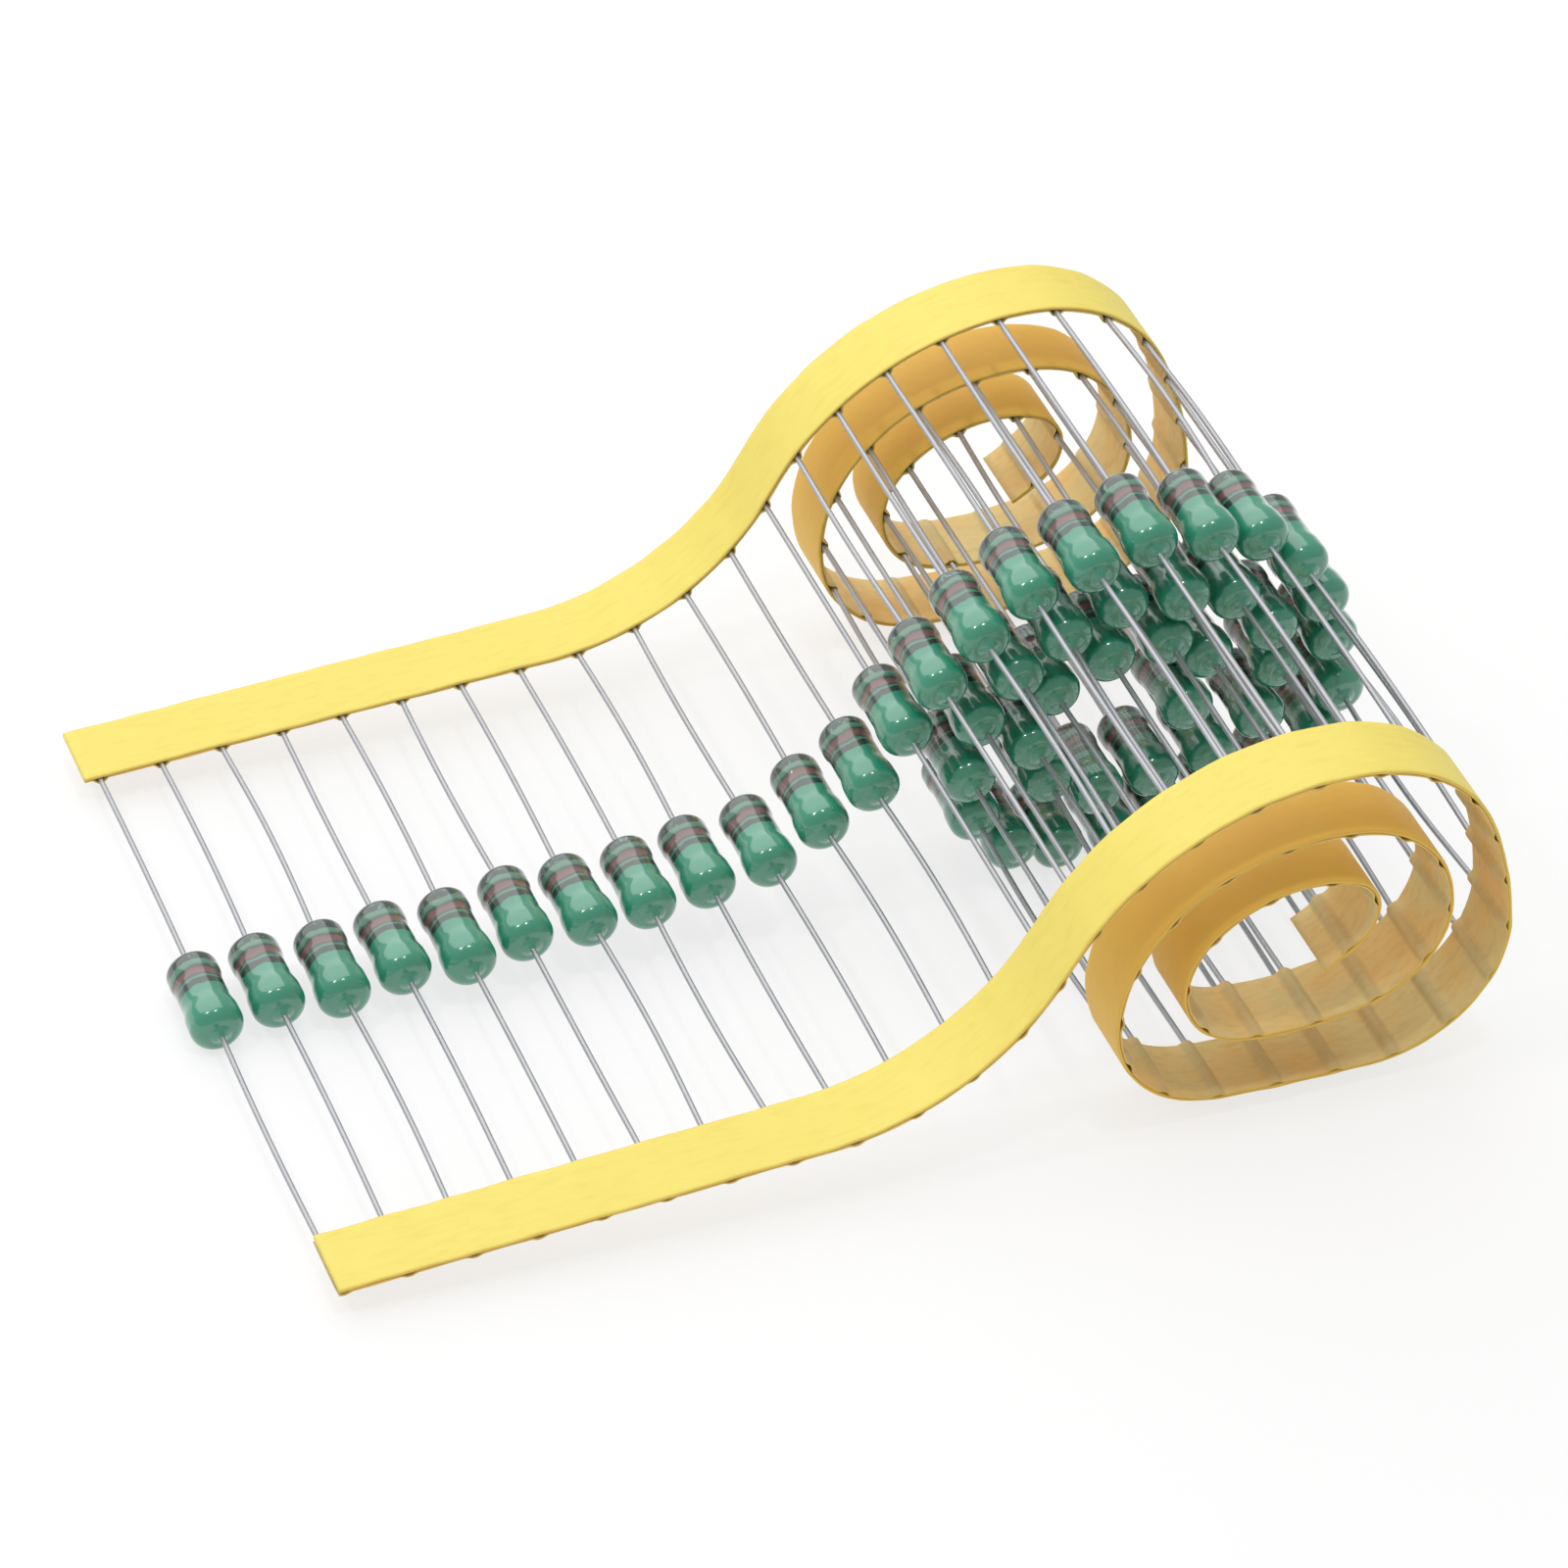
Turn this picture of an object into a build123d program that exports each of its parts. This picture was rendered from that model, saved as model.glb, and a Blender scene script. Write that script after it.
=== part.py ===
"""A cut length of taped axial inductors: one end lies out flat, the rest is loosely rolled up.

Two paper tapes, front and rear, hold a row of dumbbell-shaped inductors by their leads.
X runs along the strip, Y along the leads with the banded end of every body at the rear,
and Z is up. The strip rests on its free end and on the underside of its roll.
All sizes are in millimetres.
"""

from build123d import *
from math import atan2, cos, degrees, radians, sin
import os

# Row of inductors
inductor_count = 52
body_diameter = 4.3       # widest, over the plain front bulge
body_gap = 0.7            # free space between neighbouring bodies
pitch = body_diameter + body_gap

# Coated body
body_length = 7.7         # between the two end faces, without the lead cones
waist_drop = 0.22         # how far the waist lies under the front bulge
rim_drop = 0.08           # how far the banded rear rim lies under the front bulge
rim_length = 2.1
bulge_length = 2.0
slope_length = 0.9        # along which the coat swells from its waist
front_round = 1.15
rear_round = 0.8
cone_height = 0.4         # resin drawn out along each lead
cone_spread = 0.45

# Leads
lead_diameter = 0.45
lead_seat = 0.8           # how deep a lead sits in the core
lead_recess = 1.2         # how far a lead ends inside the outer edge of its tape
slips = (0.0, 0.35, -0.3, 0.15, -0.45, 0.25, -0.1)  # bodies sit a little off centre

# Drum core and winding inside the coat
coat_wall = 0.6           # between the core and the front bulge
coat_end = 1.2            # between the core and each end face
core_flange = 1.0
core_neck = 1.5
winding_recess = 0.2      # how far the winding lies under the core's flanges

# Tapes
tape_width = 6.0
tape_gap = 52.0           # between the inner edges of the two tapes
base_thickness = 0.3
cover_thickness = 0.15
tunnel_flare = 0.9        # widening of the air gap beside a lead, for each unit of height
front_tape_lead_in = 0.35  # tape beyond the first lead
rear_tape_lead_in = 1.3

# Lie of the strip from its free end: (inductors passed, degrees turned, up is positive)
run = (
    (7.5, 0),      # flat stretch
    (4.5, 60),     # lifts
    (0.5, 0),
    (5.2, -68),    # over the top of the roll
    (3.0, -60),
    (2.3, -18),    # down the far side
    (3.4, -97),
    (2.5, -4),     # underside
    (2.6, -73),
    (3.4, -74),    # up behind the rising stretch
    (2.3, -40),    # second turn
    (2.9, -78),
    (2.0, -74),
    (2.1, -28),
    (2.9, -125),
    (2.3, -67),    # third turn
    (1.4, -111),
    (0.7, -14),    # inner end, cut between two leads
)

body_radius = body_diameter / 2
lead_radius = lead_diameter / 2
core_radius = body_radius - coat_wall
winding_radius = core_radius - winding_recess
strip_half = tape_gap / 2 + tape_width


def place(distance):
    """Point and heading of the lead line after a distance along the strip."""
    point = Vector(0, 0)
    heading = 0.0
    for count, turn in run:
        step = min(distance, count * pitch)
        swing = turn * step / (count * pitch)
        half = radians(swing / 2)
        chord = step * sin(half) / half if half else step
        aim = radians(heading) + half
        point += Vector(chord * cos(aim), chord * sin(aim))
        heading += swing
        distance -= step
    return point, heading


def strand(offset, lead_in):
    """Line beside the lead line, at an offset to its upper or outer side."""
    point = Vector(-lead_in, offset)
    extra = lead_in
    heading = 0.0
    for count, turn in run:
        length = count * pitch + extra
        aim = Vector(cos(radians(heading)), sin(radians(heading)))
        if turn:
            side_way = offset if turn < 0 else -offset
            arc_radius = length / radians(abs(turn)) + side_way
            piece = JernArc(point, aim, arc_radius, turn)
        else:
            piece = Line(point, point + aim * length)
        point = piece @ 1
        heading += turn
        extra = 0.0
    return Vector(-lead_in, offset), point


def band(inner, outer, lead_in):
    """Face between two strands: one layer of tape seen from its edge."""
    with BuildSketch() as layer:
        with BuildLine():
            inner_start, inner_end = strand(inner, lead_in)
            outer_start, outer_end = strand(outer, lead_in)
            Line(inner_start, outer_start)
            Line(inner_end, outer_end)
        make_face()
    return layer.sketch


def fold(bottom, top, bottom_half):
    """Section of the tape's fold over a lead: a trapezoid on its narrow side."""
    top_half = bottom_half + (top - bottom) * tunnel_flare
    with BuildSketch() as section:
        with BuildLine():
            Polyline(
                (-bottom_half, bottom),
                (bottom_half, bottom),
                (top_half, top),
                (-top_half, top),
                close=True,
            )
        make_face()
    return section.sketch


# Where the leads lie along the strip, level with its free end
stations = [place(number * pitch) for number in range(inductor_count)]
rest_angle = max(degrees(atan2(-point.Y, point.X)) for point, heading in stations[1:])
tip = Vector(cos(radians(rest_angle)), sin(radians(rest_angle)))
reach = [point.X * tip.X - point.Y * tip.Y for point, heading in stations]
middle = (min(reach) + max(reach)) / 2

# The plane of the strip's edge: x along the flat stretch, y up, looked at from the front
side = Plane(origin=(-middle, 0, body_radius), x_dir=(tip.X, 0, tip.Y), z_dir=(0, -1, 0))
front_side = side.offset(tape_gap / 2)
rear_side = side.offset(-strip_half)

# One seat for each inductor: x along its lead to the rear
seats = []
for number, (point, heading) in enumerate(stations):
    slip = slips[number % len(slips)]
    centre = side.from_local_coords((point.X, point.Y, -slip))
    seats.append(Plane(origin=centre, x_dir=(0, 1, 0), z_dir=(0, 0, 1)))

os.makedirs("parts", exist_ok=True)


# Coat of one inductor: a ring section round the lead, the core and the winding
body_half = body_length / 2
waist_radius = body_radius - waist_drop
rim_radius = body_radius - rim_drop
rim_start = body_half - rim_length
bulge_end = bulge_length - body_half
slope_rise = (rim_radius - waist_radius) / 2
step_length = slope_length / 2
core_half = body_half - coat_end
neck_half = core_half - core_flange
cone_radius = lead_radius + cone_spread

with BuildPart() as coat:
    with BuildSketch(Plane.XY):
        with BuildLine():
            # rear end: cone on the lead, end face, rounded rim
            Line((body_half + cone_height, lead_radius), (body_half, cone_radius))
            Line((body_half, cone_radius), (body_half, rim_radius - rear_round))
            rear_corner = TangentArc(
                (body_half, rim_radius - rear_round),
                (body_half - rear_round, rim_radius),
                tangent=(0, 1),
            )
            Line(rear_corner @ 1, (rim_start, rim_radius))
            # down to the waist, along it, and out to the front bulge
            step_out = TangentArc(
                (rim_start, rim_radius),
                (rim_start - step_length / 2, waist_radius + slope_rise),
                tangent=(-1, 0),
            )
            step_in = TangentArc(
                step_out @ 1,
                (rim_start - step_length, waist_radius),
                tangent=step_out % 1,
            )
            Line(step_in @ 1, (bulge_end + slope_length, waist_radius))
            swell_out = TangentArc(
                (bulge_end + slope_length, waist_radius),
                (bulge_end + slope_length / 2, (waist_radius + body_radius) / 2),
                tangent=(-1, 0),
            )
            swell_in = TangentArc(
                swell_out @ 1,
                (bulge_end, body_radius),
                tangent=swell_out % 1,
            )
            # front end: bulge, rounded shoulder, end face, cone on the lead
            Line(swell_in @ 1, (front_round - body_half, body_radius))
            front_corner = TangentArc(
                (front_round - body_half, body_radius),
                (-body_half, body_radius - front_round),
                tangent=(-1, 0),
            )
            Line(front_corner @ 1, (-body_half, cone_radius))
            Line((-body_half, cone_radius), (-body_half - cone_height, lead_radius))
            # inside: leads, core flanges and winding
            Polyline(
                (-body_half - cone_height, lead_radius),
                (-core_half, lead_radius),
                (-core_half, core_radius),
                (-neck_half, core_radius),
                (-neck_half, winding_radius),
                (neck_half, winding_radius),
                (neck_half, core_radius),
                (core_half, core_radius),
                (core_half, lead_radius),
                (body_half + cone_height, lead_radius),
            )
        make_face()
    revolve(axis=Axis.X)

for number, seat in enumerate(seats, 1):
    with BuildPart() as inductor_body:
        with Locations(seat):
            add(coat.part)
    inductor_body.part.label = f"inductor_body_{number:02d}"
    export_step(inductor_body.part, f"parts/inductor_body_{number:02d}.step")


# Drum core: two flanges and a neck, with a blind hole for a lead in each end
with BuildPart() as core:
    with BuildSketch(Plane.XY):
        with BuildLine():
            Polyline(
                (-core_half, lead_radius),
                (-core_half, core_radius),
                (-neck_half, core_radius),
                (-neck_half, core_neck / 2),
                (neck_half, core_neck / 2),
                (neck_half, core_radius),
                (core_half, core_radius),
                (core_half, lead_radius),
                (core_half - lead_seat, lead_radius),
                (core_half - lead_seat, 0),
                (lead_seat - core_half, 0),
                (lead_seat - core_half, lead_radius),
                close=True,
            )
        make_face()
    revolve(axis=Axis.X)

with BuildPart() as ferrite_cores:
    with Locations(*seats):
        add(core.part)
ferrite_cores.part.label = "ferrite_cores"
export_step(ferrite_cores.part, "parts/ferrite_cores.step")


# Winding: the wound copper as one ring between the core's flanges
with BuildPart() as winding:
    with BuildSketch(Plane.YZ.offset(-neck_half)):
        Circle(winding_radius)
        Circle(core_neck / 2, mode=Mode.SUBTRACT)
    extrude(amount=2 * neck_half)

with BuildPart() as copper_windings:
    with Locations(*seats):
        add(winding.part)
copper_windings.part.label = "copper_windings"
export_step(copper_windings.part, "parts/copper_windings.step")


# Leads: from the bottom of their holes to a little inside the outer edges of the tapes
lead_end = strip_half - lead_recess

with BuildPart() as front_leads:
    for seat in seats:
        with BuildSketch(Plane(origin=(seat.origin.X, -lead_end, seat.origin.Z), z_dir=(0, 1, 0))):
            Circle(lead_radius)
        extrude(amount=lead_end + seat.origin.Y - core_half + lead_seat)
front_leads.part.label = "front_leads"
export_step(front_leads.part, "parts/front_leads.step")

with BuildPart() as rear_leads:
    for seat in seats:
        with BuildSketch(Plane(origin=(seat.origin.X, lead_end, seat.origin.Z), z_dir=(0, -1, 0))):
            Circle(lead_radius)
        extrude(amount=lead_end - seat.origin.Y - core_half + lead_seat)
rear_leads.part.label = "rear_leads"
export_step(rear_leads.part, "parts/rear_leads.step")


def make_base_tape(edge, lead_in):
    """Smooth paper tape on the upper and outer side of the leads."""
    with BuildPart() as base_tape:
        with BuildSketch(edge):
            add(band(lead_radius, lead_radius + base_thickness, lead_in))
        extrude(amount=tape_width)
    return base_tape.part


def make_cover_tape(edge, lead_in):
    """Thin tape stuck to the base tape, folded over every lead with a slit of air beside it."""
    folds = []
    for point, heading in stations:
        folds.append(Location((point.X, point.Y), heading))
    with BuildPart() as cover_tape:
        with BuildSketch(edge):
            add(band(lead_radius - cover_thickness, lead_radius, lead_in))
            with Locations(*folds):
                add(fold_outside)
                add(fold_inside, mode=Mode.SUBTRACT)
            # the folds stop at the underside of the base tape
            add(band(lead_radius, lead_radius + base_thickness, lead_in), mode=Mode.SUBTRACT)
            with Locations((-lead_in - pitch / 2, 0)):
                Rectangle(pitch, pitch, mode=Mode.SUBTRACT)
        extrude(amount=tape_width)
    return cover_tape.part


fold_outside = fold(
    -lead_radius - cover_thickness,
    lead_radius - cover_thickness / 2,
    lead_radius / 2 + cover_thickness,
)
fold_inside = fold(-lead_radius, lead_radius + base_thickness / 2, lead_radius / 2)

front_base_tape = make_base_tape(front_side, front_tape_lead_in)
front_base_tape.label = "front_base_tape"
export_step(front_base_tape, "parts/front_base_tape.step")

rear_base_tape = make_base_tape(rear_side, rear_tape_lead_in)
rear_base_tape.label = "rear_base_tape"
export_step(rear_base_tape, "parts/rear_base_tape.step")

front_cover_tape = make_cover_tape(front_side, front_tape_lead_in)
front_cover_tape.label = "front_cover_tape"
export_step(front_cover_tape, "parts/front_cover_tape.step")

rear_cover_tape = make_cover_tape(rear_side, rear_tape_lead_in)
rear_cover_tape.label = "rear_cover_tape"
export_step(rear_cover_tape, "parts/rear_cover_tape.step")
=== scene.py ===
# %% [markdown]
# # A taped strip of axial inductors
#
# Small green inductors hang by their leads between two paper tapes. One end of the strip lies
# out flat and the rest is loosely rolled up. The CAD model holds the sizes and the lie of the
# strip. This script dresses it: each piece is worked out again as a finer surface on the same
# lead line, gets its finish, and stands for its CAD piece.

# %% Load the frame
import math

import bpy
import numpy as np
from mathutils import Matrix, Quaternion, Vector


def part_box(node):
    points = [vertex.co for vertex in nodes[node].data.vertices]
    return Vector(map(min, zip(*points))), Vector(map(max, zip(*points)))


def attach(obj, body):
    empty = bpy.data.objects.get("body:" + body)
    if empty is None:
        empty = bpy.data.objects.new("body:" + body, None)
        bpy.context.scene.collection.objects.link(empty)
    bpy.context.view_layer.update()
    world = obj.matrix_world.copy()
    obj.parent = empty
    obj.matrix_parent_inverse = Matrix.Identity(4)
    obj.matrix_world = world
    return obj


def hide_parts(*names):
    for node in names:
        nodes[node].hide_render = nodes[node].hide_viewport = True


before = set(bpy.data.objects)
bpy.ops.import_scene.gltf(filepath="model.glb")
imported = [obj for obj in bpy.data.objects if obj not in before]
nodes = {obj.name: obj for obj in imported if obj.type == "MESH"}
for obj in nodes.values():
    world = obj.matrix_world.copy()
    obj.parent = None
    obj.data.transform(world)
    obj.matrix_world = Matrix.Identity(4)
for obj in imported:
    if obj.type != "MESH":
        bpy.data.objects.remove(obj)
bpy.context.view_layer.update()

MM = 0.001
chance = np.random.default_rng(52)
body_names = sorted(name for name in nodes if name.startswith("inductor_body_"))
print(len(nodes), "nodes,", len(body_names), "inductors")

# %% [markdown]
# ## The lead line
#
# On the real strip the tapes can bend only between leads, so its lie is a chain of arcs. Each
# stretch below passes a number of inductors and turns by some degrees, up being positive. One
# could trace the tapes with a drawn curve instead, but then leads, bodies and tapes would each
# need fitting. A single function of the distance along the strip places them all.

# %% The lie of the strip
PITCH = 5.0
LEAD_RADIUS = 0.225
BODY_RADIUS = 2.15
TAPE_INNER = 26.0
TAPE_OUTER = 32.0
LEAD_END = 30.8
RUN = np.array([
    (7.5, 0), (4.5, 60), (0.5, 0), (5.2, -68), (3.0, -60), (2.3, -18), (3.4, -97),
    (2.5, -4), (2.6, -73), (3.4, -74), (2.3, -40), (2.9, -78), (2.0, -74), (2.1, -28),
    (2.9, -125), (2.3, -67), (1.4, -111), (0.7, -14),
])
run_length = RUN[:, 0] * PITCH
run_turn = np.radians(RUN[:, 1])
run_end = np.cumsum(run_length)
run_heading = np.cumsum(run_turn) - run_turn
strip_length = run_end[-1]


def chord(length, half_turn):
    """Straight distance between the ends of an arc: its length times sin(half) / half."""
    return length * np.sinc(half_turn / np.pi)


run_aim = run_heading + run_turn / 2
run_reach = chord(run_length, run_turn / 2)
run_step = run_reach[:, None] * np.stack([np.cos(run_aim), np.sin(run_aim)], 1)
run_start = np.cumsum(run_step, 0) - run_step


def flat_place(distance):
    """Point and heading at each distance: the start of its stretch plus the chord of the arc so far."""
    distance = np.asarray(distance, float)
    stretch = np.minimum(np.searchsorted(run_end, distance), len(run_end) - 1)
    gone = distance - (run_end - run_length)[stretch]
    swing = run_turn[stretch] * gone / run_length[stretch]
    aim = run_heading[stretch] + swing / 2
    reach = chord(gone, swing / 2)
    point = run_start[stretch] + reach[..., None] * np.stack([np.cos(aim), np.sin(aim)], -1)
    return point, run_heading[stretch] + swing


# The strip tips until the underside of its roll rests level with its free end
stations = np.arange(len(body_names)) * PITCH
station_point = flat_place(stations)[0]
tip = np.max(np.arctan2(-station_point[1:, 1], station_point[1:, 0]))
level_x = station_point[:, 0] * math.cos(tip) - station_point[:, 1] * math.sin(tip)
middle = (level_x.min() + level_x.max()) / 2


def on_strip(distance, offset, depth):
    """World points in metres: the lead line at each distance, moved by offset along its normal.

    The point turns with the strip's tip and is shifted to the middle. Depth is the place along
    the leads, front to rear. The three arrays take the same shape.
    """
    point, heading = flat_place(distance)
    along = point[..., 0] - offset * np.sin(heading)
    up = point[..., 1] + offset * np.cos(heading)
    x = along * math.cos(tip) - up * math.sin(tip) - middle
    z = along * math.sin(tip) + up * math.cos(tip) + BODY_RADIUS
    return np.stack([x, depth + 0 * x, z], -1) * MM


body_box = np.array([[list(corner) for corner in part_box(name)] for name in body_names])
body_centre = body_box.mean(1)
miss = on_strip(stations, 0.0, body_centre[:, 1] / MM) - body_centre
print("strip", strip_length, "mm long; furthest miss from the CAD bodies",
      round(np.abs(miss).max() / MM, 4), "mm")

# %% [markdown]
# ## Skins made of rings
#
# Coats, leads and tapes are all closed skins: a ring of points is carried along a line. The
# sweep of a Blender curve could do this, but its rings can't change as they go, and here a fold
# or a ripple has to come at each lead. So the points come from numpy as one array, and the
# helper below only joins them.

# %% Skin and piece helpers
def skin(name, rings, marks):
    """Mesh of closed tubes from an array of points: (tubes, rings, points round, 3).

    Each ring joins the next by a row of quads, and a flat cap closes each end. Marks are named
    numbers for every point, which the finishes read.
    """
    tubes, length, size = rings.shape[:3]
    corner = np.arange(tubes * length * size).reshape(tubes, length, size)
    here = corner[:, :-1]
    there = corner[:, 1:]
    quads = np.stack([here, np.roll(here, -1, 2), np.roll(there, -1, 2), there], -1)
    faces = quads.reshape(-1, 4).tolist() + corner[:, 0, ::-1].tolist() + corner[:, -1].tolist()
    mesh = bpy.data.meshes.new(name)
    mesh.from_pydata(rings.reshape(-1, 3), [], faces)
    mesh.shade_smooth()
    for mark, values in marks.items():
        attribute = mesh.attributes.new(mark, "FLOAT", "POINT")
        spread = np.broadcast_to(values, rings.shape[:3]).ravel()
        attribute.data.foreach_set("value", spread.astype(np.float32))
    return mesh


def dress(name, mesh, finish, slot, *replaced):
    """Makes the mesh a piece that rides on the strip and stands for its CAD nodes."""
    piece = bpy.data.objects.new(name, mesh)
    bpy.context.scene.collection.objects.link(piece)
    mesh.materials.append(finish)
    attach(piece, "root")
    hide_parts(*replaced)


def ease(share):
    """Smooth step: 0 before 0, 1 after 1, and three squares minus two cubes between."""
    share = np.clip(share, 0, 1)
    return share * share * (3 - 2 * share)


# %% [markdown]
# ## Finishes written as sums
#
# A finish is a tree of shader nodes. Linking dozens of Math nodes by hand hides what they work
# out, so a Value wraps one socket and gives it Python's operators.

# %% Colours and sums
def paint(red, green, blue):
    """Linear colour from screen values of 0 to 255, by the sRGB curve."""
    screen = np.array([red, green, blue]) / 255
    linear = np.where(screen <= 0.04045, screen / 12.92, ((screen + 0.055) / 1.055) ** 2.4)
    return (*linear.tolist(), 1.0)


class Value:
    """A socket that adds up like a number: each operator puts one Math node in the tree."""

    def __init__(self, finish, socket):
        self.finish = finish
        self.socket = socket

    def math(self, operation, first, second):
        return self.finish.node("Math", {"operation": operation}, {0: first, 1: second})

    def __add__(self, other):
        return self.math("ADD", self, other)

    def __sub__(self, other):
        return self.math("SUBTRACT", self, other)

    def __mul__(self, other):
        return self.math("MULTIPLY", self, other)

    def __rsub__(self, other):
        return self.math("SUBTRACT", other, self)

    __radd__ = __add__
    __rmul__ = __mul__


# %% [markdown]
# ## One class for a material
#
# Everything that isn't plain arithmetic goes through one method, node. The few others below only
# give names to what the finishes of this strip ask for again and again: a number that the mesh
# carries, a soft step, noise at a size in mm, a blend of two colours, and relief.

# %% A material and its tree
class Finish:
    """One material and its tree."""

    def __init__(self, name):
        self.material = bpy.data.materials.new(name)
        self.material.use_nodes = True
        self.tree = self.material.node_tree
        self.tree.nodes.clear()

    def node(self, kind, settings=None, inputs=None, output=0):
        """Any node: its settings come first, then the values or links of its sockets."""
        made = self.tree.nodes.new("ShaderNode" + kind)
        for name, value in (settings or {}).items():
            setattr(made, name, value)
        for name, value in (inputs or {}).items():
            if isinstance(value, Value):
                self.tree.links.new(value.socket, made.inputs[name])
            else:
                made.inputs[name].default_value = value
        return Value(self, made.outputs[output])

    def mark(self, name):
        """A number that the mesh carries for each of its points."""
        return self.node("Attribute", {"attribute_name": name}, output="Fac")

    def rise(self, value, start, end):
        """0 before start, 1 after end, smooth between."""
        sockets = {"Value": value, "From Min": start, "From Max": end}
        return self.node("MapRange", {"interpolation_type": "SMOOTHSTEP"}, sockets)

    def noise(self, size, stretch=(1, 1, 1), detail=3.0):
        """Noise of 0 to 1 on the object's own coordinates, with grains about size mm across."""
        place = self.node("TexCoord", output="Object")
        scale = [1 / (size * MM * s) for s in stretch]
        scaled = self.node("Mapping", {}, {"Vector": place, "Scale": scale})
        return self.node("TexNoise", {}, {"Vector": scaled, "Scale": 1.0, "Detail": detail})

    def blend(self, mask, first, second):
        """First colour where the mask is 0, second where it is 1."""
        return self.node("Mix", {"data_type": "RGBA"}, {0: mask, 6: first, 7: second}, output=2)

    def bump(self, height, depth):
        """Relief: a height of 0 to 1 raises the surface by depth in mm."""
        return self.node("Bump", {}, {"Height": height, "Distance": depth * MM, "Strength": 1.0})

    def surface(self, **sockets):
        """The Principled shader on the output. Returns the finished material."""
        named = {name.replace("_", " "): value for name, value in sockets.items()}
        shader = self.node("BsdfPrincipled", {}, named)
        self.node_output(shader)
        return self.material

    def node_output(self, shader):
        """Links a shader to the material's output."""
        target = self.tree.nodes.new("ShaderNodeOutputMaterial")
        self.tree.links.new(shader.socket, target.inputs["Surface"])


# %% [markdown]
# ## Coated bodies
#
# The real body is a ferrite drum and its winding, dipped in green epoxy. Resin creeps out along
# both leads in a small cone, the plain front end swells, and painted rings mark the rear end. A
# cylinder with bevels would look turned on a lathe, so the outline is drawn as arcs and soft
# steps, spun round the lead, and then made a little uneven, as dipped resin is.

# %% Shape of a coat
COAT_LENGTH = 7.7
CONE = 0.4
RIM_RADIUS = 2.07
WAIST_RADIUS = 1.93
REAR_ROUND = 0.8
FRONT_ROUND = 1.15
AROUND = 40
UNEVEN = 0.015
WAVE_TWIST = (0.3, -0.5)


def arc(centre, radius, start, end, steps):
    """Points of a circle's arc, from one angle to another in degrees."""
    angle = np.radians(np.linspace(start, end, steps))
    return np.stack([centre[0] + radius * np.cos(angle), centre[1] + radius * np.sin(angle)], 1)


def slope(start, end, steps):
    """Points of an S-shaped step from start to end."""
    share = np.linspace(0, 1, steps)
    height = start[1] + (end[1] - start[1]) * ease(share)
    return np.stack([start[0] + (end[0] - start[0]) * share, height], 1)


# Along the lead from the rear face in mm, and the radius there
coat_outline = np.concatenate([
    slope((-CONE, LEAD_RADIUS), (0.05, 0.95), 6),
    arc((REAR_ROUND, RIM_RADIUS - REAR_ROUND), REAR_ROUND, 170, 90, 8),
    slope((1.5, RIM_RADIUS), (2.5, WAIST_RADIUS), 6),
    slope((2.9, WAIST_RADIUS), (3.8, WAIST_RADIUS + 0.02), 4),
    slope((4.4, WAIST_RADIUS + 0.03), (5.8, BODY_RADIUS), 7),
    arc((COAT_LENGTH - FRONT_ROUND, BODY_RADIUS - FRONT_ROUND), FRONT_ROUND, 88, 5, 10),
    slope((COAT_LENGTH - 0.03, 0.9), (COAT_LENGTH + CONE, LEAD_RADIUS), 6),
])


def coat_rings(centre, lean):
    """Rings of one coat: the outline spun round the lead.

    Two slow waves round the body, which twist along it, take up to 1.5 % off the radius. Lean
    turns the body a little in the strip's plane and across it: each ring shifts with its
    distance from the centre.
    """
    angle = np.linspace(0, 2 * np.pi, AROUND, endpoint=False)[None, :]
    phase = chance.uniform(0, 2 * np.pi, 3)
    along = coat_outline[:, :1]
    oval = np.sin(2 * angle + phase[0] + WAVE_TWIST[0] * along)
    lobes = np.sin(3 * angle + phase[1] + WAVE_TWIST[1] * along)
    radius = coat_outline[:, 1:] * (1 - UNEVEN / 4 * (2 + oval + lobes))
    depth = COAT_LENGTH / 2 - along
    x = centre[0] / MM + lean[0] * depth + radius * np.cos(angle)
    z = centre[2] / MM + lean[1] * depth + radius * np.sin(angle)
    y = centre[1] / MM + depth + 0 * radius
    return np.stack([x, y, z], -1) * MM


# %% [markdown]
# ## Green epoxy with painted rings
#
# The resin is glossy and even in colour. The rings are wiped on by a wheel, so their edges
# wander, the black one at the rim is broken up, and their paint stands a hair proud. Painting
# them in a texture would need an image. Each point of the coat knows how far it lies from the
# rear face instead, and smooth steps on that number make the rings.

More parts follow.
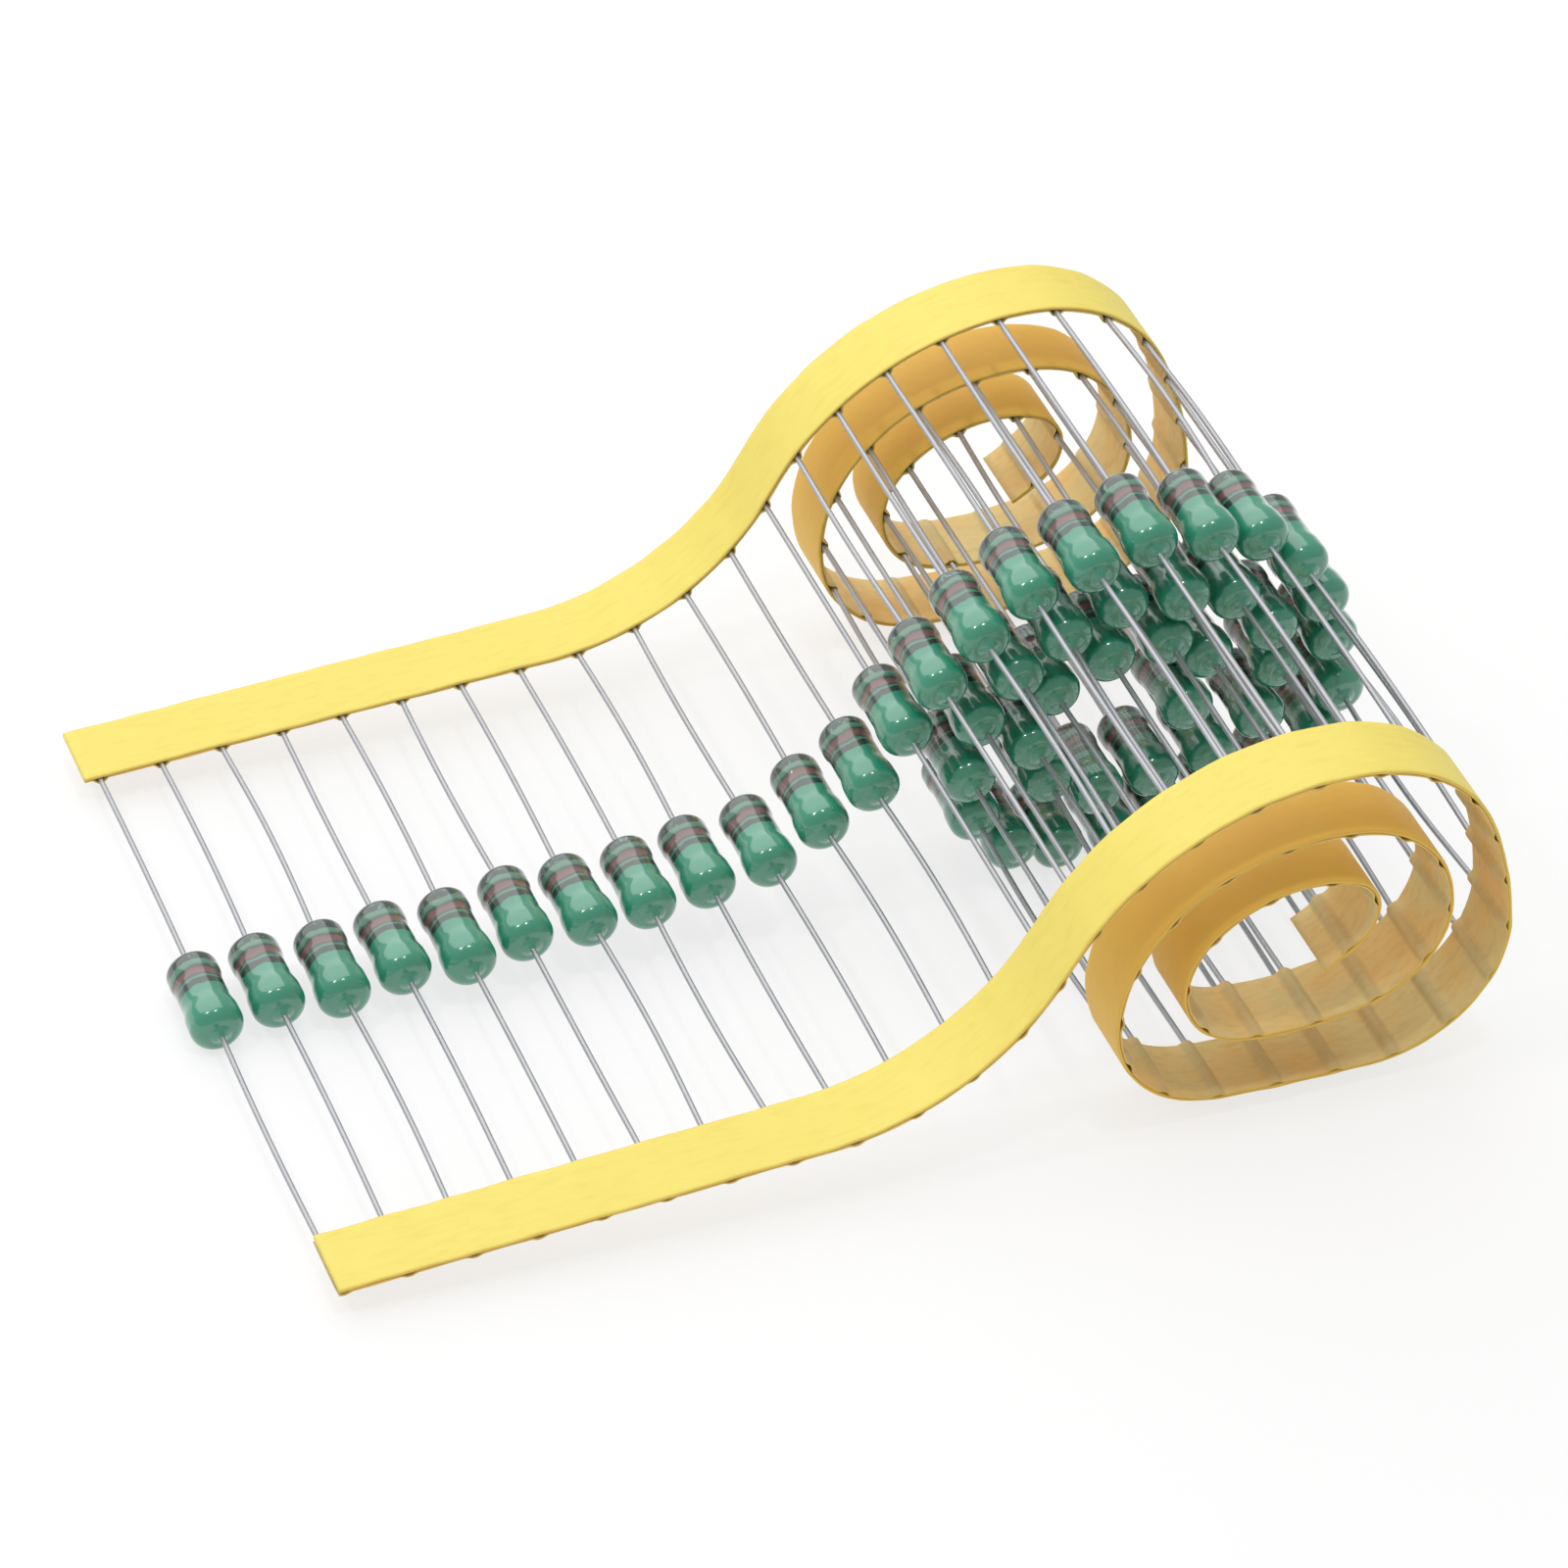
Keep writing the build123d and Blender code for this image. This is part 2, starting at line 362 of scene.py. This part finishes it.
# %% Finish of a coat
def make_coat_finish():
    """Glossy resin: rings are the product of a rise and one minus a later rise."""
    finish = Finish("green_epoxy")
    wander = finish.noise(1.6, detail=2.0)
    grain = finish.noise(0.55, detail=3.0)
    along = finish.mark("along") + 0.7 * (wander - 0.5)

    def ring(start, end, soft):
        begun = finish.rise(along, start - soft, start + soft)
        ended = finish.rise(along, end - soft, end + soft)
        return begun * (1 - ended)

    plain = finish.blend(finish.noise(3.0), paint(40, 134, 104), paint(48, 146, 116))
    under = ring(-1.0, 3.6, 0.2)
    colour = finish.blend(under * 0.75, plain, paint(92, 130, 110))
    rim = ring(0.1, 1.35, 0.12) * finish.rise(grain, 0.32, 0.44)
    colour = finish.blend(rim * 0.92, colour, paint(26, 42, 38))
    brown_edge = ring(1.85, 2.95, 0.12)
    brown = ring(2.1, 2.65, 0.1)
    colour = finish.blend(brown_edge * 0.8, colour, paint(54, 50, 48))
    colour = finish.blend(brown * 0.9, colour, paint(122, 84, 80))
    thin = ring(3.15, 3.8, 0.1)
    colour = finish.blend(thin * 0.92, colour, paint(24, 44, 38))
    relief = 0.6 * wander + 0.15 * grain + 0.25 * brown + 0.25 * thin + 0.2 * rim
    return finish.surface(
        Base_Color=colour,
        Roughness=0.16 + 0.12 * grain,
        IOR=1.65,
        Coat_Weight=1.0,
        Coat_Roughness=0.05,
        Normal=finish.bump(relief, 0.05),
    )


coat_finish = make_coat_finish()
print("finish", coat_finish.name, "with", len(coat_finish.node_tree.nodes), "nodes")

# %% Coats on the strip
LEAN = 0.03
leans = chance.uniform(-LEAN, LEAN, (len(body_names), 2))
for name, centre, lean in zip(body_names, body_centre, leans):
    rings = coat_rings(centre, lean)[None, :, ::-1]
    mesh = skin(name.replace("body", "coat"), rings, {"along": coat_outline[None, :, :1]})
    dress(mesh.name, mesh, coat_finish, "coat", name)
print(len(body_names), "coats of", len(mesh.polygons), "faces")

# %% [markdown]
# ## Leads
#
# Tinned copper wire, 0.45 mm thick, which ends a little inside the outer edge of its tape. Where
# the tapes grip it, it is straight. Between tape and body it was handled, so each one bows a
# little and meets its body at a slight angle. A curve with a bevel would do for one wire. A
# hundred and four are one array: a ring carried along y.

# %% Shape of the leads
LEAD_POINTS = 18
LEAD_SIDES = 10
CORE_SEAT = 1.85
BOW = 0.3


def lead_rings(side):
    """Rings of the leads on one side of the bodies: -1 is the front, 1 the rear.

    A share runs from 0 at the tape's inner edge to 1 at the body's face. The wire leaves its
    straight line by the body's lean times the share, which starts softly, plus half a sine wave
    of its own bow.
    """
    count = len(body_names)
    centre = body_centre[:, None, :] / MM
    face = side * COAT_LENGTH / 2 + centre[..., 1]
    share = np.linspace(0, 1, LEAD_POINTS)[None, :]
    free = side * TAPE_INNER + (face - side * TAPE_INNER) * share
    ends = np.full((count, 1), side * LEAD_END)
    seat = centre[..., 1] + side * CORE_SEAT
    depth = np.concatenate([ends, free, seat], 1)
    reach = np.concatenate([0 * ends, share + 0 * free, 1 + 0 * seat], 1)
    bow = chance.uniform(-BOW, BOW, (count, 1, 2))
    lean = leans[:, None, :] * side * COAT_LENGTH / 2
    tilt = (reach * ease(3 * reach))[..., None]
    shift = lean * tilt + bow * np.sin(np.pi * reach)[..., None]
    angle = np.linspace(0, 2 * np.pi, LEAD_SIDES, endpoint=False)
    x = centre[:, :, :1] + shift[..., :1] + LEAD_RADIUS * np.cos(angle)
    z = centre[:, :, 2:] + shift[..., 1:] + LEAD_RADIUS * np.sin(angle)
    y = depth[..., None] + 0 * x
    rings = np.stack([x, y, z], -1) * MM
    return rings[:, :, ::-1] if side > 0 else rings


# %% Finish of the leads
def make_tin_finish():
    """Dull tin: fine streaks along the wire and cloudy patches in its shine."""
    finish = Finish("tinned_wire")
    cloud = finish.noise(2.5)
    streak = finish.noise(0.15, stretch=(1, 12, 1), detail=2.0)
    return finish.surface(
        Base_Color=finish.blend(cloud, paint(168, 169, 173), paint(188, 189, 192)),
        Metallic=0.75,
        Roughness=0.36 + 0.18 * cloud,
        Normal=finish.bump(streak, 0.01),
    )


tin_finish = make_tin_finish()
for side, name in ((-1, "front_leads"), (1, "rear_leads")):
    mesh = skin(name.replace("leads", "wires"), lead_rings(side), {})
    dress(mesh.name, mesh, tin_finish, "tinned_wire", name)
    print(mesh.name, len(mesh.polygons), "faces")

# %% [markdown]
# ## Base tapes
#
# The thick tape on the upper and outer side is smooth yellow paper. Each lead lifts it by a
# hair, between leads it sinks back, and its cut edges wander slightly. A bump map would leave
# the edges dead straight, so ridges and edges are in the mesh, and only fibre is in the relief.

# %% Shape of the base tapes
BASE_BOTTOM = 0.225
BASE_TOP = 0.525
FRONT_LEAD_IN = 0.35
REAR_LEAD_IN = 1.3
TAPES = ((-1, FRONT_LEAD_IN, "front"), (1, REAR_LEAD_IN, "rear"))
BASE_STEP = 0.3
SINK = 0.05
SINK_REACH = 1.6
EDGE_WANDER = 0.06
ACROSS = np.array([0, 0.008, 0.03, 0.1, 0.2, 0.35, 0.5, 0.65, 0.8, 0.9, 0.97, 0.992, 1])
EDGE_SOFT = np.array([0.09, 0.03, 0, 0, 0, 0, 0, 0, 0, 0, 0, 0.03, 0.09])


def to_nearest_lead(distance):
    """Distance in mm along the strip to the nearest lead."""
    nearest = np.clip(np.round(distance / PITCH), 0, len(body_names) - 1)
    return np.abs(distance - nearest * PITCH)


def slow_wave(distance, lengths):
    """Sum of sine waves of the given lengths in mm, with random starts, from -1 to 1."""
    starts = chance.uniform(0, 2 * np.pi, len(lengths))
    return sum(np.sin(2 * np.pi * distance / w + s) for w, s in zip(lengths, starts)) / len(lengths)


def edges(distance, side):
    """The two edges of a tape along y, each drawn in by up to 0.12 mm by slow waves."""
    outer = side * (TAPE_OUTER - EDGE_WANDER - EDGE_WANDER * slow_wave(distance, (37, 13, 4.1)))
    inner = side * (TAPE_INNER + EDGE_WANDER + EDGE_WANDER * slow_wave(distance, (29, 11, 5.3)))
    return np.minimum(outer, inner), np.maximum(outer, inner)


def base_tape_mesh(name, side, lead_in):
    """Closed band: a flat section of two faces with soft edges, carried along the strip.

    The top face lies at its full height over each lead and up to 0.05 mm lower between leads.
    """
    count = int((strip_length + lead_in) / BASE_STEP)
    distance = np.linspace(-lead_in, strip_length, count)[:, None]
    near, far = edges(distance, side)
    depth = near + (far - near) * ACROSS
    sink = SINK * ease(to_nearest_lead(distance) / SINK_REACH)
    sink = sink * (0.7 + 0.3 * slow_wave(distance, (23, 9)))
    top = BASE_TOP - sink - EDGE_SOFT
    bottom = BASE_BOTTOM + EDGE_SOFT + 0 * sink
    section_depth = np.concatenate([depth, depth[:, ::-1]], 1)
    offset = np.concatenate([top, bottom[:, ::-1]], 1)
    rings = on_strip(distance + 0 * offset, offset, section_depth)
    across = np.concatenate([ACROSS, ACROSS[::-1]])
    marks = {"across": across[None, None, :], "along": distance[None]}
    return skin(name, rings[None], marks)


# %% Finish of the base tapes
# Where along the strip, in mm, the painted golden light of the inner turns begins and becomes full
PAINTED_GLOW_START = 118.0
PAINTED_GLOW_END = 152.0


def make_yellow_paper():
    """Pale yellow paper: faint fibre along the tape, deeper yellow at the cut edges.

    Along the strip it turns golden where the second turn of the roll begins. This gold is painted
    light: it stands for the shade under the outer turn and the golden light that comes through it.
    """
    finish = Finish("yellow_paper")
    fibre = finish.noise(0.5, stretch=(4, 1, 4), detail=4.0)
    cloud = finish.noise(7.0, detail=2.0)
    across = finish.mark("across")
    edge = 1 - finish.rise(across * (1 - across), 0.0, 0.035)
    outside = finish.blend(cloud, paint(239, 222, 113), paint(234, 215, 102))
    # Painted light: the golden colour of the turns under the outer one stands for their shade and the
    # light through the paper above them
    inside = finish.blend(cloud, paint(246, 204, 94), paint(237, 188, 84))
    painted_glow = finish.rise(finish.mark("along"), PAINTED_GLOW_START, PAINTED_GLOW_END)
    colour = finish.blend(painted_glow, outside, inside)
    colour = finish.blend(0.3 * finish.rise(fibre, 0.45, 0.75), colour, paint(226, 198, 92))
    colour = finish.blend(0.6 * edge, colour, paint(232, 190, 76))
    return finish.surface(
        Base_Color=colour,
        Roughness=0.5 + 0.2 * fibre,
        Normal=finish.bump(fibre, 0.02),
    )


yellow_paper = make_yellow_paper()
for side, lead_in, end in TAPES:
    mesh = base_tape_mesh(f"{end}_yellow_tape", side, lead_in)
    dress(mesh.name, mesh, yellow_paper, "base_tape", f"{end}_base_tape")
    print(mesh.name, len(mesh.polygons), "faces")

# %% [markdown]
# ## Cover tapes
#
# The thin tape on the inner side is stuck to the base tape between leads and folds over each
# one, leaving a slit of air beside it. Its middle surface is a height along the strip: flat, then
# a smooth dip under the lead. Moving that line to both sides by half the thickness, square to
# itself, gives a sheet of even thickness, which Solidify would also do but with open ends.

# %% Shape of the cover tapes
COVER_THICKNESS = 0.15
FOLD_START = 0.1
FOLD_END = 0.75
EDGE_DIP = 0.45
FINE = np.linspace(-1, 1, 23) * 1.05
COARSE = np.array([1.7, 2.5, 3.3])


def cover_stations(lead_in):
    """Distances along the strip: close together round each lead, wide apart between leads."""
    around = (stations[:, None] + FINE).ravel()
    between = (stations[:, None] + COARSE).ravel()
    every = np.concatenate([around, between, [-lead_in, strip_length]])
    return np.unique(every[(every >= -lead_in) & (every <= strip_length)])


def cover_tape_mesh(name, side, lead_in):
    """Closed sheet: the height line of the folds, thickened square to itself, 6 mm wide.

    Past the lead's end each dip fades to less than half of its depth at the tape's outer edge.
    """
    distance = cover_stations(lead_in)
    high = BASE_BOTTOM - COVER_THICKNESS / 2
    low = -LEAD_RADIUS - COVER_THICKNESS / 2
    open_share = (to_nearest_lead(distance) - FOLD_START) / (FOLD_END - FOLD_START)
    dip = (high - low) * (1 - ease(open_share))
    near, far = edges(distance[:, None], side)
    depth = near + (far - near) * ACROSS
    fade = 1 - (1 - EDGE_DIP) * ease((np.abs(depth) - LEAD_END) / (TAPE_OUTER - LEAD_END))
    height = high - dip[:, None] * fade
    rise = np.gradient(height, distance, axis=0)
    move = COVER_THICKNESS / 2 / np.sqrt(1 + rise * rise) * (1 - EDGE_SOFT / COVER_THICKNESS)
    top_offset = height + move
    top_distance = distance[:, None] - rise * move
    bottom_offset = height - move
    bottom_distance = distance[:, None] + rise * move
    offset = np.concatenate([top_offset, bottom_offset[:, ::-1]], 1)
    along = np.concatenate([top_distance, bottom_distance[:, ::-1]], 1)
    rings = on_strip(along, offset, np.concatenate([depth, depth[:, ::-1]], 1))
    across = np.concatenate([ACROSS, ACROSS[::-1]])
    marks = {"across": across[None, None, :], "to_lead": to_nearest_lead(distance)[None, :, None]}
    return skin(name, rings[None], marks)


# %% Finish of the cover tapes
def make_tan_paper():
    """Tan crepe paper: orange and khaki patches, grey where it lies on a lead."""
    finish = Finish("tan_paper")
    patch = finish.noise(5.0, detail=3.0)
    fibre = finish.noise(0.4, stretch=(3, 1, 3), detail=4.0)
    across = finish.mark("across")
    edge = 1 - finish.rise(across * (1 - across), 0.0, 0.03)
    colour = finish.blend(finish.rise(patch, 0.35, 0.65), paint(236, 214, 150), paint(242, 202, 130))
    colour = finish.blend(0.3 * finish.rise(fibre, 0.4, 0.8), colour, paint(204, 166, 98))
    stripe = 1 - finish.rise(finish.mark("to_lead"), 0.3, 0.9)
    colour = finish.blend(0.35 * stripe, colour, paint(168, 160, 128))
    colour = finish.blend(0.6 * edge, colour, paint(236, 196, 80))
    return finish.surface(
        Base_Color=colour,
        Roughness=0.6 + 0.2 * fibre,
        Normal=finish.bump(fibre, 0.03),
    )


tan_paper = make_tan_paper()
for side, lead_in, end in TAPES:
    mesh = cover_tape_mesh(f"{end}_tan_tape", side, lead_in)
    dress(mesh.name, mesh, tan_paper, "cover_tape", f"{end}_cover_tape")
    print(mesh.name, len(mesh.polygons), "faces")

# %% [markdown]
# ## Cores and windings
#
# They lie sealed inside the coats, so their CAD shape is right as it is. They only need their
# finish for anyone who cuts a body open: grey sintered ferrite, and enamelled wire in turns.

# %% Finishes of the hidden pieces
WIRE_PITCH = 0.12


def make_ferrite():
    """Dark sintered ceramic with fine grain."""
    finish = Finish("sintered_ferrite")
    grain = finish.noise(0.2, detail=4.0)
    return finish.surface(
        Base_Color=finish.blend(grain, paint(44, 44, 47), paint(78, 77, 80)),
        Roughness=0.55 + 0.25 * grain,
        Normal=finish.bump(grain, 0.02),
    )


def make_enamelled_copper():
    """Wire turns side by side along y: a sine wave with one crest for each turn. The colour is darker
    in the grooves between turns: painted shade.
    """
    finish = Finish("enamelled_copper")
    place = finish.node("TexCoord", output="Object")
    depth = finish.node("SeparateXYZ", {}, {"Vector": place}, output="Y")
    wave = finish.node("Math", {"operation": "SINE"}, {0: depth * (2 * math.pi / (WIRE_PITCH * MM))})
    # The wave darkens the colour in the grooves between turns: painted shade. It also sets the
    # roughness and the relief.
    turns = 0.5 + 0.5 * wave
    return finish.surface(
        Base_Color=finish.blend(turns, paint(112, 48, 24), paint(196, 108, 62)),
        Metallic=1.0,
        Roughness=0.42 - 0.14 * turns,
        Normal=finish.bump(turns, 0.04),
    )


def refinish(name, finish):
    """Puts a finish on a CAD node's own slots."""
    node = nodes[name]
    if not node.material_slots:
        node.data.materials.append(finish)
    for place in node.material_slots:
        place.material = finish
    print(name, "is", finish.name)


refinish("ferrite_cores", make_ferrite())
refinish("copper_windings", make_enamelled_copper())

# %% [markdown]
# ## Floor, light and camera
#
# The strip lies on white. A wide soft lamp above and a little behind gives the bodies their
# broad bright top, two small lamps add the pair of glints, and a pale world fills the rest. The
# floor shows white to the camera but keeps part of the shadow.

# %% Floor
FLOOR_HALF = 3.0
FLOOR_WHITE = 0.72


def make_floor_finish():
    """White paint. For camera and glossy rays, most of it is plain white that takes no shadow."""
    finish = Finish("white_floor")
    paper = finish.node("BsdfDiffuse", {}, {"Color": (0.92, 0.92, 0.92, 1)})
    white = finish.node("Emission", {}, {"Color": (1, 1, 1, 1), "Strength": 1.0})
    by_camera = finish.node("LightPath", output="Is Camera Ray")
    seen = by_camera + finish.node("LightPath", output="Is Glossy Ray")
    mixed = finish.node("MixShader", {}, {0: FLOOR_WHITE * seen, 1: paper, 2: white})
    finish.node_output(mixed)
    return finish.material


floor_mesh = bpy.data.meshes.new("floor")
floor_corners = [
    (-FLOOR_HALF, -FLOOR_HALF, 0),
    (FLOOR_HALF, -FLOOR_HALF, 0),
    (FLOOR_HALF, FLOOR_HALF, 0),
    (-FLOOR_HALF, FLOOR_HALF, 0),
]
floor_mesh.from_pydata(floor_corners, [], [(0, 1, 2, 3)])
floor_mesh.materials.append(make_floor_finish())
floor = bpy.data.objects.new("floor", floor_mesh)
bpy.context.scene.collection.objects.link(floor)

# %% Lamps and world
AIM = Vector((0, 0, 0.01))
SOFTBOX_SIZE = 1.05
SOFTBOX_POWER = 4.8
GLINT_SIZE = 0.05
GLINT_POWER = 0.45
WORLD_STRENGTH = 0.52


def add_softbox(name, place, size, power):
    """Square area lamp that looks at the middle of the strip. Places and sizes are in metres."""
    lamp = bpy.data.lights.new(name, "AREA")
    lamp.shape = "SQUARE"
    lamp.size = size
    lamp.energy = power
    holder = bpy.data.objects.new(name, lamp)
    holder.location = place
    holder.rotation_euler = (AIM - Vector(place)).to_track_quat("-Z", "Y").to_euler()
    bpy.context.scene.collection.objects.link(holder)
    print("lamp", name, "of", power, "W")


add_softbox("overhead_softbox", (-0.12, 0.46, 0.60), SOFTBOX_SIZE, SOFTBOX_POWER)
add_softbox("left_glint", (-0.34, 0.00, 0.52), GLINT_SIZE, GLINT_POWER)
add_softbox("right_glint", (-0.02, -0.10, 0.62), GLINT_SIZE, GLINT_POWER)

world = bpy.data.worlds.new("pale_room")
world.use_nodes = True
sky = world.node_tree.nodes["Background"]
sky.inputs["Color"].default_value = (1, 1, 1, 1)
sky.inputs["Strength"].default_value = WORLD_STRENGTH
bpy.context.scene.world = world
bpy.context.scene.view_settings.view_transform = "Standard"

# %% Camera
LENS = 137.05
LOOK_AT = Vector((0.0003, 0.0005, 0.0120))
DISTANCE = 0.4599
AZIMUTH = math.radians(-27.02)
ELEVATION = math.radians(41.07)
LEAN_LEFT = math.radians(7.13)

back = Vector((
    math.sin(AZIMUTH) * math.cos(ELEVATION),
    -math.cos(AZIMUTH) * math.cos(ELEVATION),
    math.sin(ELEVATION),
))
lens = bpy.data.cameras.new("camera")
lens.lens = LENS
lens.sensor_width = 36
lens.clip_start = 0.01
camera = bpy.data.objects.new("camera", lens)
camera.location = LOOK_AT + DISTANCE * back
camera.rotation_mode = "QUATERNION"
camera.rotation_quaternion = back.to_track_quat("Z", "Y") @ Quaternion((0, 0, 1), LEAN_LEFT)
bpy.context.scene.collection.objects.link(camera)
bpy.context.scene.camera = camera
print("camera at", [round(v / MM, 1) for v in camera.location], "mm")
